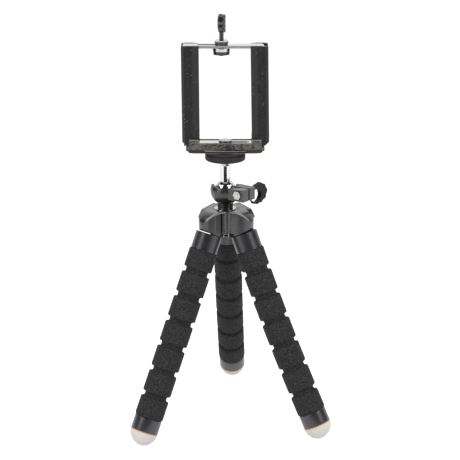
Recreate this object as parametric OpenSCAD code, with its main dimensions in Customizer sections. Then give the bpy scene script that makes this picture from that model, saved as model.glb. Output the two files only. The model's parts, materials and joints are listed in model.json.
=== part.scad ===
// Pocket phone tripod: three bendable foam legs, a small ball head and a sliding phone clamp.
// Z is up, the feet stand on Z = 0, and the camera screw points up.

/* [Legs] */
// Compass angle of the left leg, seen from above
left_azimuth = 222; // [200:1:235]
// Compass angle of the right leg
right_azimuth = 328; // [310:1:340]
// Compass angle of the rear leg
rear_azimuth = 86; // [75:1:105]
// Angle of the straight left leg from the vertical
leg_splay = 25; // [18:0.5:34]
// Extra angle that the right leg gains at each groove
right_bend = 0.7; // [0:0.1:1.5]
// Extra angle that the rear leg gains at each groove
rear_bend = 1.5; // [0:0.1:2]
// Distance from the hub axis to the top centre of each collar
hip_radius = 14.6; // [13.6:0.1:18]
// Diameter of the plastic collar at the top of a leg
collar_d = 17.3; // [15:0.1:18.4]
// Length of the collar
collar_l = 11.8; // [10:0.1:16]
// Wall of the collar's open cup
collar_wall = 1.5; // [1.2:0.1:2]
// Depth of the open cup
cup_depth = 7.4; // [6.8:0.1:8.4]
// Diameter of the foam blocks
foam_d = 18.7; // [17:0.1:20]
// Diameter of the foam neck in each groove
neck_d = 15.3; // [12:0.1:16]
// Distance from one groove to the next
block_pitch = 17.5; // [16:0.1:22]
// Width of a groove
groove_w = 3.3; // [2.8:0.1:4]
// Length of the foam block next to the collar
first_block_l = 13.35; // [11:0.05:18]
// Length of the foam block next to the foot
last_block_l = 13.35; // [11:0.05:18]
// Rounding of the edges of a foam block
foam_edge = 1.2; // [0.6:0.1:1.5]
// Gap between a foam neck and the block that turns on it
neck_gap = 0.3; // [0.2:0.05:0.5]
// Diameter of the bendable wire in each leg
wire_d = 3; // [2:0.1:4]
// Gap between the wire and its bore
wire_gap = 0.45; // [0.35:0.05:0.7]

/* [Feet] */
// Diameter of the black foot cap
cap_d = 17.8; // [16:0.1:18.6]
// Length of the foot cap
cap_l = 9.4; // [7:0.1:14]
// Thickness of the orange ring
ring_t = 0.6; // [0.4:0.1:1]
// Diameter of the orange ring
ring_d = 18; // [16:0.1:18.6]
// Diameter of the round rubber foot
foot_d = 17.8; // [16:0.1:20]
// Height that is flat where a foot stands
foot_flat = 0.5; // [0.3:0.1:1]
// Diameter of the plugs that reach into foam, cap and collar
plug_d = 10.4; // [9:0.1:12]
// Length of those plugs
plug_l = 5.2; // [4:0.1:6]

/* [Hips] */
// How far a leg folds inward from its open stop
fold_angle = 25; // [15:1:27]
// Distance from the collar axis to the hip pin
pin_inset = 6; // [5.4:0.1:6.4]
// Depth of the hip pin below the top of the collar
pin_depth = 3.4; // [3:0.1:4]
// Diameter of the hip pin
pin_d = 2; // [1.6:0.1:2.4]
// Width of the hub's lug on the pin
lug_w = 5.6; // [4.5:0.1:6]
// Diameter of the lug's round end
lug_d = 4.6; // [4:0.1:5]
// Gap between the lug and the collar
lug_gap = 0.4; // [0.3:0.05:0.6]
// Gap between the hub and the top of a collar
hip_gap = 0.5; // [0.4:0.05:0.8]

/* [Hub] */
// Radius of each rounded corner of the hub
hub_lobe_r = 8.6; // [7.6:0.1:9.2]
// Distance from the hub axis to the centre of a corner
hub_lobe_out = 12.4; // [11:0.1:14]
// How far the hub's flat sides lie inside its rounded corners
side_inset = 0.3; // [0.2:0.05:0.8]
// Height of the hub's lower edge above the hips
hub_skirt = 1.8; // [1:0.1:3]
// Height of the hub's top above the hips
hub_top = 15.1; // [14:0.1:16.5]
// Radius of the hub's rounded shoulder
shoulder_r = 9; // [6:0.1:11]
// Width of the upright rib on each side of the hub
rib_w = 5.4; // [3:0.1:7]
// How far the rib stands out
rib_out = 1; // [0.6:0.1:1.6]
// Height of the arched brows above the hips
brow_top = 17.5; // [16.8:0.1:18.5]
// Thickness of each brow
brow_t = 1.9; // [1.4:0.1:2.6]
// Radius of the brow's arch
brow_r = 19.5; // [17:0.1:24]
// Thickness of the plate under the hub
hub_base_t = 1.8; // [1.4:0.1:2.2]
// Diameter of the plate under the hub
hub_base_d = 11.6; // [10:0.1:12]
// Diameter of the hub bolt
bolt_d = 4; // [3:0.1:4.5]
// Diameter of the bolt's head
bolt_head_d = 7; // [6:0.1:8]
// Height of the bolt's head
bolt_head_h = 1.6; // [1.2:0.1:2]

/* [Ball head] */
// Height of the ball's centre above the hips
ball_h = 28; // [27.6:0.1:32]
// Diameter of the ball
ball_d = 14.7; // [13:0.1:15.5]
// Outside diameter of the ball's cup
cup_d = 20.2; // [18.8:0.1:21]
// Height of the front rim above the ball's centre
cup_rim_h = 4.4; // [3:0.1:4.6]
// Height of the cut-down rear rim above the ball's centre
cup_back_h = 0.6; // [0:0.1:2]
// Diameter of the neck between hub and cup
head_neck_d = 10.6; // [9:0.1:12]
// Gap between ball and cup
ball_fit = 0.08; // [0.05:0.01:0.1]
// Diameter of the pressure pad under the ball
seat_d = 9.2; // [8:0.1:9.6]
// Depth of the pressure pad's floor below the ball's centre
seat_depth = 9.2; // [8.8:0.1:9.4]
// Compass angle that the two clamp ears point to
ear_azimuth = -38; // [-50:1:-25]
// Reach of the ears from the ball's centre
ear_reach = 20; // [19:0.1:22]
// Thickness of one ear
ear_t = 5.9; // [5:0.1:7]
// Height of the ears
ear_h = 8.4; // [7.4:0.1:8.6]
// Width of the slit between the ears
slit_w = 1.2; // [0.8:0.1:1.6]
// Distance from the ball's centre to the lock screw
lock_out = 15; // [14.4:0.1:16]
// Diameter of the lock screw
lock_d = 3.2; // [2.6:0.1:3.6]
// Width across the flats of the lock nut
lock_nut_w = 6.2; // [5.5:0.1:6.6]
// Thickness of the lock nut
lock_nut_t = 2.4; // [2:0.1:3]

/* [Thumb grips] */
// Length of the lock knob's loop
loop_l = 15.4; // [14:0.1:18]
// Height of the lock knob's loop
loop_h = 14.2; // [12:0.1:15]
// Thickness of the lock knob's loop
loop_t = 3; // [2.4:0.1:4]
// Wall of the loop beside its hole
loop_wall = 3.1; // [2.4:0.1:3.6]
// How far the loop hangs below the screw
loop_drop = 3.4; // [2:0.1:4]
// Diameter of the lock knob's collar
knob_collar_d = 6.8; // [6:0.1:7.6]
// Length of the lock knob's collar
knob_collar_l = 3.2; // [2.6:0.1:4]
// Height of the grip on the clamp screw
grip_h = 12.2; // [11:0.1:15]
// Width of the grip on the clamp screw
grip_w = 12.4; // [10:0.1:14]
// Thickness of the grip on the clamp screw
grip_t = 4; // [3:0.1:5]
// Diameter of the small round lobes on both grips
lobe_d = 2.9; // [2:0.1:3.4]

/* [Stem and disc] */
// Diameter of the stem above the ball
stem_d = 7.3; // [6:0.1:8]
// Height of the disc's underside above the ball's centre
disc_h = 21; // [20:0.1:26]
// Diameter of the flange under the disc
flange_d = 12.6; // [11:0.1:16]
// Thickness of the flange's rim
flange_t = 1.6; // [1.2:0.1:2.4]
// Height of the cone under the flange
flange_cone_h = 2; // [1:0.1:3]
// Diameter of the mounting disc
disc_d = 27; // [24:0.1:30]
// Thickness of the mounting disc
disc_t = 4.6; // [3:0.1:5]
// Diameter of the rubber pad on the disc
pad_d = 26.2; // [22:0.1:27]
// Thickness of the rubber pad
pad_t = 2; // [1.4:0.1:3]
// Diameter of the camera screw
camera_screw_d = 6.2; // [6:0.05:6.35]
// Length of the camera screw above the pad
camera_screw_l = 3; // [2.4:0.1:3.1]

/* [Clamp base] */
// Length of the base's lower ledge
ledge_l = 52.6; // [48:0.1:58]
// Depth of the base's lower ledge
ledge_w = 24.6; // [23:0.1:30]
// Thickness of the ledge
ledge_t = 1.9; // [1.4:0.1:2.6]
// Length of the tray above the ledge
tray_l = 49.2; // [44:0.1:56]
// Depth of the tray above the ledge
tray_w = 22.4; // [21.6:0.1:26]
// Thickness of the base's floor
floor_t = 3.4; // [3.2:0.1:4.5]
// Height of the front wall above the base's underside
tray_h = 6.8; // [6:0.1:8]
// Height of the low wall behind the straps
rear_wall_h = 5; // [4.4:0.1:6]
// Height of the raised corners above the base's underside
corner_h = 9.1; // [8:0.1:11]
// Length of each raised corner along the base
corner_l = 7; // [5:0.1:9]
// Diameter of the threaded insert
insert_d = 10; // [9:0.1:12]
// Diameter of the screw head that holds the straps down
slot_head_d = 8.8; // [7:0.1:9.2]
// Height of that screw head
slot_head_h = 1.4; // [1:0.1:2]

/* [Phone clamp] */
// Height from the base's underside to the top of the straps
clamp_h = 70.5; // [60:0.5:90]
// Width of the closed clamp over both jaws
clamp_w = 57.6; // [52:0.1:66]
// How far each jaw slides outward
jaw_travel = 14; // [8:0.5:16]
// Depth of a jaw, front to back
jaw_depth = 17.6; // [16:0.1:18]
// Width of a jaw, seen from the front
jaw_w = 11.4; // [9:0.1:14]
// Thickness of a jaw's lips
lip_t = 1.7; // [1.4:0.1:2.2]
// Thickness of a jaw's outer wall
jaw_wall = 2.5; // [2.4:0.1:3.5]
// Width of the slanted inner part of a lip
lip_slant_w = 4; // [3:0.1:5]
// How far the slanted part leans inward
lip_slant_in = 2; // [1:0.1:2.2]
// Width of the bevel on a jaw's outer corners
jaw_bevel = 1.8; // [1:0.1:2.4]
// Height of the slanted cut at the lower end of a jaw
foot_cut_h = 3.4; // [2:0.1:5]
// Width of the slanted cut at the lower end of a jaw
foot_cut_w = 4.4; // [3:0.1:6]
// Width of the steel straps
strap_w = 9.6; // [7:0.1:9.8]
// Thickness of a strap
strap_t = 0.9; // [0.7:0.05:1]
// Outside radius of a strap's bends
strap_bend_r = 4.6; // [3:0.1:6]
// Width of the slots in the straps
slot_w = 4; // [3.6:0.1:5]
// Gap between parts that slide on each other
slide_gap = 0.1; // [0.05:0.01:0.15]

/* [Clamp screw] */
// Sideways place of the clamp screw
screw_x = -2.4; // [-4:0.1:4]
// Diameter of the clamp screw
screw_d = 3; // [2.4:0.1:3.2]
// Height of the grip above the straps
grip_up = 7.7; // [7.4:0.1:11]
// Upper diameter of the black collar
collar_top_d = 8.4; // [7:0.1:10]
// Lower diameter of the black collar
collar_low_d = 7.4; // [6:0.1:9]
// Height of the black collar
collar_h = 2.2; // [2:0.1:4]
// Width across the flats of the jam nut
jam_w = 7.4; // [6:0.1:8]
// Thickness of the jam nut
jam_t = 2.4; // [2:0.1:3]
// Diameter of the bright washer under the straps
washer_d = 10.6; // [9:0.1:12]
// Thickness of the washer
washer_t = 2.1; // [1.4:0.1:3]
// Diameter of the black nut under the washer
under_nut_d = 10.9; // [9:0.1:12]
// Thickness of the black nut
under_nut_t = 2.3; // [1.6:0.1:3]

/* [Hidden] */
$fn = 96;

plastic_colour = "#2b2b2f";
gloss_colour = "#3a3a42";
foam_colour = "#3a3a3a";
chrome_colour = "#d8d8dc";
brass_colour = "#b89a55";
steel_colour = "#8a8d92";
rubber_colour = "#4a4744";
orange_colour = "#d98a3a";
foot_colour = "#dcd8ca";

// Running gap of a pin or screw in its hole
pin_fit = 0.05;
// Seat gap of parts that are pressed or glued together
seat_fit = 0.03;
// Overrun of cuts past the faces that they open
over = 1;
// Gap between a sliding jaw and the base's walls
jaw_gap = 0.3;

groove_count = 6;
foam_r = foam_d / 2;
neck_r = neck_d / 2;
wire_r = wire_d / 2;
cap_r = cap_d / 2;
foot_r = foot_d / 2;
collar_r = collar_d / 2;
plug_r = plug_d / 2;
block_l = block_pitch - groove_w;
first_reach = collar_l + first_block_l + groove_w / 2;
cap_start = groove_w / 2 + last_block_l;
foot_reach = cap_start + cap_l + ring_t;
wire_floor = (collar_l + cup_depth) / 2;
wire_end = cap_start + plug_l / 2;
// A wire's knuckles are a touch thicker than the wire
knuckle_r = wire_r + seat_fit;

// Height lost between the hip and groove k, and between the hip and the foot's centre
function down_to(splay, bend, k) = first_reach * cos(splay)
    + (k < 2 ? 0 : sum([for (i = [1 : k - 1]) block_pitch * cos(splay + i * bend)]));
function out_to(splay, bend, k) = first_reach * sin(splay)
    + (k < 2 ? 0 : sum([for (i = [1 : k - 1]) block_pitch * sin(splay + i * bend)]));
function sum(list, i = 0) = i >= len(list) ? 0 : list[i] + sum(list, i + 1);
function drop(splay, bend) =
    down_to(splay, bend, groove_count) + foot_reach * cos(splay + groove_count * bend);
function reach(splay, bend) = hip_radius + out_to(splay, bend, groove_count)
    + foot_reach * sin(splay + groove_count * bend);

// The bent legs leave the hub steeper, so that all three feet stand at one height
steepest = 5;
halvings = 30;
function level_splay(bend, target, low, high, steps) = steps == 0 ? (low + high) / 2
    : let (middle = (low + high) / 2) drop(middle, bend) > target
        ? level_splay(bend, target, middle, high, steps - 1)
        : level_splay(bend, target, low, middle, steps - 1);
left_drop = drop(leg_splay, 0);
azimuths = [left_azimuth, right_azimuth, rear_azimuth];
bends = [0, right_bend, rear_bend];
splays = [for (bend = bends)
    bend == 0 ? leg_splay : level_splay(bend, left_drop, steepest, leg_splay, halvings)];

hip_z = foot_r - foot_flat + left_drop;
feet = [for (leg = [0 : 2]) reach(splays[leg], bends[leg]) * [cos(azimuths[leg]), sin(azimuths[leg])]];
foot_xs = [for (foot = feet) foot.x];
foot_ys = [for (foot = feet) foot.y];
// The hub axis stands aside from the origin, which is the middle of the feet's outline
hub_at = -[min(foot_xs) + max(foot_xs), min(foot_ys) + max(foot_ys)] / 2;

module on_hub() translate([hub_at.x, hub_at.y, hip_z]) children();

// Local Z runs down the leg from groove k, or from the hip where k is 0, and local X points inward
module in_leg(leg, k) {
    out = k == 0 ? 0 : out_to(splays[leg], bends[leg], k);
    down = k == 0 ? 0 : down_to(splays[leg], bends[leg], k);
    on_hub() rotate([0, 0, azimuths[leg]]) translate([hip_radius + out, 0, -down])
        rotate([0, 180 - splays[leg] - k * bends[leg], 0]) children();
}

function arc(centre, radius, from, to, steps) =
    [for (i = [0 : steps]) let (a = from + (to - from) * i / steps) centre + radius * [cos(a), sin(a)]];

edge_steps = 5;
module round_block(radius, length, edge)
    rotate_extrude() polygon(concat(
        [[0, 0]], arc([radius - edge, edge], edge, -90, 0, edge_steps),
        arc([radius - edge, length - edge], edge, 0, 90, edge_steps), [[0, length]]));

// Foam block k, counted from 0 at the collar
module foam_block(leg, k) {
    start = k == 0 ? collar_l : groove_w / 2;
    length = k == 0 ? first_block_l : k == groove_count ? last_block_l : block_l;
    color(foam_colour) in_leg(leg, k) difference() {
        union() {
            translate([0, 0, start]) round_block(foam_r, length, foam_edge);
            if (k < groove_count) translate([0, 0, start + length + groove_w / 2]) sphere(r = neck_r);
        }
        if (k > 0) sphere(r = neck_r + neck_gap);
        translate([0, 0, start - over]) cylinder(r = wire_r + wire_gap, h = length + neck_d + over);
        if (k == 0) translate([0, 0, start - over])
            cylinder(r = plug_r + seat_fit, h = plug_l + over + seat_fit);
        if (k == groove_count)
            translate([0, 0, start + length - plug_l - seat_fit])
                cylinder(r = plug_r + seat_fit, h = plug_l + over);
    }
}

// One bent wire runs from the collar's floor to the foot cap
module leg_wire(leg) color(steel_colour) {
    in_leg(leg, 0) translate([0, 0, wire_floor]) cylinder(r = wire_r, h = first_reach - wire_floor);
    for (k = [1 : groove_count]) in_leg(leg, k) {
        sphere(r = knuckle_r);
        cylinder(r = wire_r, h = k == groove_count ? wire_end : block_pitch);
    }
}

pin_half = sqrt(pow(collar_r, 2) - pow(pin_inset, 2)) - seat_fit;
module collar(leg) color(gloss_colour) in_leg(leg, 0) difference() {
    union() {
        cylinder(r = collar_r, h = collar_l - seat_fit);
        cylinder(r = plug_r, h = collar_l + plug_l);
    }
    translate([0, 0, -over]) cylinder(r = collar_r - collar_wall, h = cup_depth + over);
    cylinder(r = wire_r + wire_gap, h = collar_l + plug_l + over);
    // Notch for the hub's lug
    translate([pin_inset - lug_d / 2 - lug_gap, -lug_w / 2 - lug_gap, -over])
        cube([collar_d, lug_w + 2 * lug_gap, pin_depth + over]);
    translate([pin_inset, -lug_w / 2 - lug_gap, pin_depth]) rotate([-90, 0, 0])
        cylinder(d = lug_d + 2 * lug_gap, h = lug_w + 2 * lug_gap);
    translate([pin_inset, -collar_d, pin_depth]) rotate([-90, 0, 0])
        cylinder(d = pin_d + 2 * pin_fit, h = 2 * collar_d);
}

module hip_pins() color(steel_colour) for (leg = [0 : 2]) in_leg(leg, 0)
    translate([pin_inset, -pin_half, pin_depth]) rotate([-90, 0, 0]) cylinder(d = pin_d, h = 2 * pin_half);

cap_bevel = ring_t;
module foot_cap(leg) color(gloss_colour) in_leg(leg, groove_count) difference() {
    translate([0, 0, cap_start]) union() {
        translate([0, 0, seat_fit]) round_block(cap_r, cap_l - 2 * seat_fit, cap_bevel);
        translate([0, 0, -plug_l]) cylinder(r = plug_r, h = plug_l + cap_l / 2);
    }
    translate([0, 0, cap_start - plug_l - over])
        cylinder(r = wire_r + wire_gap, h = plug_l + over + plug_l / 2 + seat_fit);
    translate([0, 0, cap_start + cap_l - plug_l / 2]) cylinder(r = plug_r + seat_fit, h = plug_l + over);
}

module foot_ring(leg) color(orange_colour) in_leg(leg, groove_count)
    translate([0, 0, cap_start + cap_l]) difference() {
        cylinder(d = ring_d, h = ring_t - seat_fit);
        translate([0, 0, -over]) cylinder(r = plug_r + seat_fit, h = ring_t + 2 * over);
    }

module foot(leg) color(foot_colour) difference() {
    in_leg(leg, groove_count) translate([0, 0, foot_reach]) {
        difference() {
            sphere(r = foot_r);
            translate([0, 0, -foot_d]) cylinder(r = foot_d, h = foot_d);
        }
        translate([0, 0, seat_fit - ring_t - plug_l / 2]) cylinder(r = plug_r, h = ring_t + plug_l);
    }
    far = 2 * reach(splays[leg], bends[leg]);
    translate([hub_at.x - far, hub_at.y - far, -foot_d]) cube([2 * far, 2 * far, foot_d]);
}

// Hub: a rounded three-sided block under a domed top
function lobe_at(leg) = hub_lobe_out * [cos(azimuths[leg]), sin(azimuths[leg])];
function edge_normal(a, b) = let (along = b - a) [along.y, -along.x] / norm(along);
hub_sides = [[0, 1], [1, 2], [2, 0]];
// A half-round rib stands in the middle of each side
function rib_at(a, b) = (a + b) / 2 + edge_normal(a, b) * (hub_lobe_r - side_inset + rib_out - rib_w / 2);
// The dome is a little wider than the corners, so that they meet it at an edge
dome_r = hub_lobe_out + hub_lobe_r + hip_gap;

module hub_outline() {
    for (leg = [0 : 2]) translate(lobe_at(leg)) circle(r = hub_lobe_r);
    polygon([for (side = hub_sides) for (end = side)
        lobe_at(end) + (hub_lobe_r - side_inset) * edge_normal(lobe_at(side[0]), lobe_at(side[1]))]);
    for (side = hub_sides) translate(rib_at(lobe_at(side[0]), lobe_at(side[1]))) circle(d = rib_w);
}

// An arched brow stands along the edge of each side
module hub_brow(a, b) {
    side = edge_normal(a, b);
    translate((a + b) / 2) rotate([0, 0, atan2(side.y, side.x)]) intersection() {
        translate([hub_lobe_r - side_inset - brow_t, -dome_r, hub_skirt - over])
            cube([dome_r, 2 * dome_r, brow_top]);
        translate([0, 0, brow_top - brow_r]) rotate([0, 90, 0]) cylinder(r = brow_r, h = 2 * dome_r);
    }
}

module hub_dome() rotate_extrude() {
    translate([0, hub_skirt - over]) square([dome_r - shoulder_r, hub_top - hub_skirt + over]);
    translate([0, hub_skirt - over]) square([dome_r, hub_top - shoulder_r - hub_skirt + over]);
    translate([dome_r - shoulder_r, hub_top - shoulder_r]) circle(r = shoulder_r);
}

// The cup's neck stands in a shallow seat in the hub's top
neck_spigot = 1.5;

// Lugs under the hub's corners carry the hip pins
module hip_lug(leg) in_leg(leg, 0) {
    translate([pin_inset, -lug_w / 2, pin_depth]) rotate([-90, 0, 0]) cylinder(d = lug_d, h = lug_w);
    translate([pin_inset - lug_d / 2, -lug_w / 2, -hip_gap - lug_d / 2])
        cube([lug_d, lug_w, pin_depth + hip_gap + lug_d / 2]);
}

// Room above each collar, at rest and when its leg is folded
collar_room = collar_r + hip_gap;
module hip_room(leg) in_leg(leg, 0) {
    translate([-2 * collar_d, -2 * collar_d, -hip_gap]) cube([4 * collar_d, 4 * collar_d, 2 * collar_d]);
    translate([pin_inset, 0, pin_depth]) rotate([0, fold_angle, 0])
        translate([-pin_inset, -collar_room, -pin_depth - hip_gap / 2])
            cube([collar_room, 2 * collar_room, collar_d]);
}

module hub_body() color(plastic_colour) difference() {
    union() {
        difference() {
            on_hub() {
                intersection() {
                    translate([0, 0, hub_skirt]) linear_extrude(brow_top) hub_outline();
                    union() {
                        hub_dome();
                        for (side = hub_sides) hub_brow(lobe_at(side[0]), lobe_at(side[1]));
                    }
                }
                for (leg = [0 : 2]) translate([lobe_at(leg).x, lobe_at(leg).y, hub_skirt - hub_lobe_r])
                    cylinder(r = hub_lobe_r, h = hub_lobe_r);
            }
            for (leg = [0 : 2]) hip_room(leg);
        }
        for (leg = [0 : 2]) hip_lug(leg);
    }
    for (leg = [0 : 2]) in_leg(leg, 0) translate([pin_inset, -lug_w, pin_depth]) rotate([-90, 0, 0])
        cylinder(d = pin_d + 2 * seat_fit, h = 2 * lug_w);
    on_hub() translate([0, 0, hub_skirt - hub_top]) cylinder(d = hub_base_d + 2 * seat_fit, h = hub_top);
    on_hub() cylinder(d = bolt_d + 2 * seat_fit, h = hub_top + over);
    on_hub() translate([0, 0, hub_top - neck_spigot - seat_fit])
        cylinder(d = head_neck_d + 2 * seat_fit, h = hub_top);
}

// A round plate closes the hub from below, under the bolt's head
plate_low = hub_skirt - seat_fit - hub_base_t;
module hub_base() color(plastic_colour) on_hub() translate([0, 0, plate_low]) difference() {
    cylinder(d = hub_base_d, h = hub_base_t);
    translate([0, 0, -over]) cylinder(d = bolt_d + 2 * seat_fit, h = hub_base_t + 2 * over);
}

module hub_bolt() color(steel_colour) on_hub() translate([0, 0, plate_low - bolt_head_h]) {
    cylinder(d = bolt_head_d, h = bolt_head_h);
    cylinder(d = bolt_d, h = hub_top + neck_spigot - plate_low + bolt_head_h);
}

// Ball head
ball_r = ball_d / 2;
cup_r = cup_d / 2;
module at_ball() on_hub() translate([0, 0, ball_h]) children();
module in_ears() at_ball() rotate([0, 0, ear_azimuth]) children();
// Along local Y, through both ears
module across_ears(from, to, d, sides = $fn) translate([lock_out, from, 0]) rotate([-90, 0, 0])
    cylinder(d = d, h = to - from, $fn = sides);
ears_half = slit_w / 2 + ear_t;
hex_scale = 1 / cos(30);
nut_recess = 2 * lock_nut_t / 3;
nut_back = nut_recess - ears_half - seat_fit;

module ball_cup() color(plastic_colour) difference() {
    union() {
        at_ball() difference() {
            sphere(r = cup_r);
            translate([0, 0, cup_rim_h]) cylinder(r = cup_d, h = cup_d);
            translate([-cup_d, 0, cup_back_h]) cube([2 * cup_d, cup_d, cup_d]);
        }
        on_hub() translate([0, 0, hub_top - neck_spigot])
            cylinder(d = head_neck_d, h = ball_h - ball_r - hub_top + neck_spigot);
        in_ears() translate([ball_r, -ears_half, -ear_h / 2])
            cube([ear_reach - ball_r, 2 * ears_half, ear_h]);
    }
    at_ball() sphere(r = ball_r + ball_fit);
    at_ball() cylinder(r = ball_r + ball_fit, h = cup_d);
    at_ball() translate([0, 0, -seat_depth]) cylinder(d = seat_d + 2 * ball_fit, h = seat_depth);
    in_ears() translate([0, -slit_w / 2, -ear_h / 2 - over])
        cube([ear_reach + over, slit_w, ear_h + 2 * over]);
    in_ears() across_ears(-ears_half - over, ears_half + over, lock_d + 4 * pin_fit);
    in_ears()
        across_ears(-ears_half - over, -ears_half + nut_recess, (lock_nut_w + 2 * slide_gap) * hex_scale, 6);
    on_hub() cylinder(d = bolt_d + 2 * seat_fit, h = hub_top + neck_spigot + seat_fit);
}

module lock_nut() color(chrome_colour) in_ears() difference() {
    across_ears(nut_back - lock_nut_t, nut_back, lock_nut_w * hex_scale, 6);
    across_ears(-ears_half - lock_nut_t, ears_half, lock_d + 2 * pin_fit);
}

knob_start = ears_half + jaw_gap;
loop_start = knob_start + knob_collar_l - pin_d;
module lock_screw() color(steel_colour) in_ears()
    across_ears(nut_back - lock_nut_t, knob_start + knob_collar_l, lock_d);

// A flat loop with a hole and small lobes round its far end, drawn along X from its near end
lobe_count = 7;
module loop_outline(length, height, wall) {
    r = height / 2;
    far = length - r - lobe_d / 4;
    difference() {
        union() {
            translate([r, 0]) circle(r = r);
            translate([far, 0]) circle(r = r);
            translate([r, -r]) square([far - r, height]);
            for (i = [0 : lobe_count - 1]) translate([far, 0])
                rotate(180 * i / (lobe_count - 1) - 90) translate([r - lobe_d / 4, 0]) circle(d = lobe_d);
        }
        translate([r, 0]) circle(r = r - wall);
        translate([far, 0]) circle(r = r - wall);
        translate([r, wall - r]) square([far - r, height - 2 * wall]);
    }
}

module lock_knob() color(plastic_colour) in_ears() difference() {
    union() {
        across_ears(knob_start, knob_start + knob_collar_l, knob_collar_d);
        translate([lock_out - loop_t / 2, loop_start, -loop_drop]) rotate([90, 0, 90])
            linear_extrude(loop_t) loop_outline(loop_l, loop_h, loop_wall);
    }
    across_ears(knob_start - over, knob_start + knob_collar_l + seat_fit, lock_d + 2 * seat_fit);
}

module ball_seat() color(foot_colour) at_ball() difference() {
    translate([0, 0, -seat_depth + ball_fit]) cylinder(d = seat_d, h = seat_depth - ball_r / 2);
    sphere(r = ball_r + ball_fit);
}

base_z = disc_h + disc_t + pad_t;
module ball_stud() color(chrome_colour) at_ball() {
    sphere(r = ball_r);
    cylinder(d = stem_d, h = disc_h);
    translate([0, 0, disc_h - flange_t - flange_cone_h]) cylinder(d1 = stem_d, d2 = flange_d, h = flange_cone_h);
    translate([0, 0, disc_h - flange_t]) cylinder(d = flange_d, h = flange_t);
    translate([0, 0, disc_h]) cylinder(d = camera_screw_d, h = disc_t + pad_t + camera_screw_l);
}

disc_edge = disc_t / 4;
module mounting_disc() color(rubber_colour) at_ball() translate([0, 0, disc_h + seat_fit]) difference() {
    round_block(disc_d / 2, disc_t - seat_fit, disc_edge);
    translate([0, 0, -over]) cylinder(d = camera_screw_d + 2 * seat_fit, h = disc_t + 2 * over);
}

module disc_pad() color(rubber_colour) at_ball() translate([0, 0, disc_h + disc_t + seat_fit]) difference() {
    cylinder(d = pad_d, h = pad_t - seat_fit);
    translate([0, 0, -over]) cylinder(d = camera_screw_d + 2 * seat_fit, h = pad_t + 2 * over);
}

// Clamp base, with Z from its underside
module on_base() at_ball() translate([0, 0, base_z + slide_gap]) children();
insert_h = floor_t - seat_fit;
outline_steps = 56;
// A squared oval, fuller in its corners as its power rises
function squared(value, power) = sign(value) * pow(abs(value), 2 / power);
module squared_oval(length, width, power) polygon([for (i = [0 : outline_steps - 1])
    let (a = 360 * (i + 0.5) / outline_steps)
    [length / 2 * squared(cos(a), power), width / 2 * squared(sin(a), power)]]);
ledge_power = 2.6;
tray_power = 9;

module base_plate() color(rubber_colour) on_base() difference() {
    union() {
        linear_extrude(ledge_t) squared_oval(ledge_l, ledge_w, ledge_power);
        linear_extrude(tray_h) squared_oval(tray_l, tray_w, tray_power);
        intersection() {
            linear_extrude(corner_h) squared_oval(tray_l, tray_w, tray_power);
            for (side = [-1, 1]) translate([side * (tray_l - corner_l) / 2 - corner_l / 2, -tray_w / 2, 0])
                cube([corner_l, tray_w, corner_h]);
        }
    }
    translate([-ledge_l, -jaw_depth / 2 - jaw_gap, floor_t])
        cube([2 * ledge_l, jaw_depth + 2 * jaw_gap, corner_h]);
    translate([corner_l - tray_l / 2, 0, rear_wall_h])
        cube([tray_l - 2 * corner_l, tray_w, corner_h]);
    translate([0, 0, -over]) cylinder(d = insert_d + 2 * seat_fit, h = floor_t + 2 * over);
}

module base_insert() color(brass_colour) on_base() difference() {
    cylinder(d = insert_d, h = insert_h);
    translate([0, 0, -over]) cylinder(d = camera_screw_d + 2 * pin_fit, h = camera_screw_l + over + slide_gap);
}

// Heights of the four strap legs above the base's underside
right_low = floor_t + slide_gap;
left_low = right_low + strap_t + slide_gap;
left_high = clamp_h - strap_t - slide_gap;
straps_low_top = left_low + strap_t;
module slot_screw() color(steel_colour) on_base() {
    translate([0, 0, insert_h]) cylinder(d = screw_d, h = straps_low_top + slide_gap - insert_h);
    translate([0, 0, straps_low_top + slide_gap]) cylinder(d = slot_head_d, h = slot_head_h);
}

// A strap is bent from one strip into a C, drawn here for the right jaw in X and Z
bend_steps = 6;
strap_x = clamp_w / 2 - (jaw_wall - strap_t) / 2;
strap_tip_x = clamp_w / 2 - jaw_wall / 2;
module strap_outline(low, high, tip) {
    r = strap_bend_r;
    inner_r = strap_bend_r - strap_t;
    polygon(concat(
        [[tip, low]], arc([strap_x - r, low + r], r, -90, 0, bend_steps),
        arc([strap_x - r, high - r], r, 0, 90, bend_steps), [[tip, high]],
        [[tip, high - strap_t]], arc([strap_x - r, high - r], inner_r, 90, 0, bend_steps),
        arc([strap_x - r, low + r], inner_r, 0, -90, bend_steps), [[tip, low + strap_t]]));
}

// A slot from one end centre to the other, cut along Z
module slot(from, to) {
    for (x = [from, to]) translate([x, 0, -over]) cylinder(d = slot_w, h = floor_t + over);
    translate([min(from, to), -slot_w / 2, -over]) cube([abs(to - from), slot_w, floor_t + over]);
}

module strap(low, high, tip, screw_at) difference() {
    translate([0, strap_w / 2, 0]) rotate([90, 0, 0]) linear_extrude(strap_w) strap_outline(low, high, tip);
    translate([0, 0, low - over]) slot(0, -jaw_travel);
    translate([0, 0, high - over]) slot(screw_at, screw_at - jaw_travel);
}

module right_strap() color(chrome_colour) on_base() strap(right_low, clamp_h, -strap_tip_x, screw_x);
module left_strap() color(chrome_colour) on_base() mirror([1, 0, 0])
    strap(left_low, left_high, strap_bend_r + jaw_gap - strap_x, -screw_x);

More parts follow.
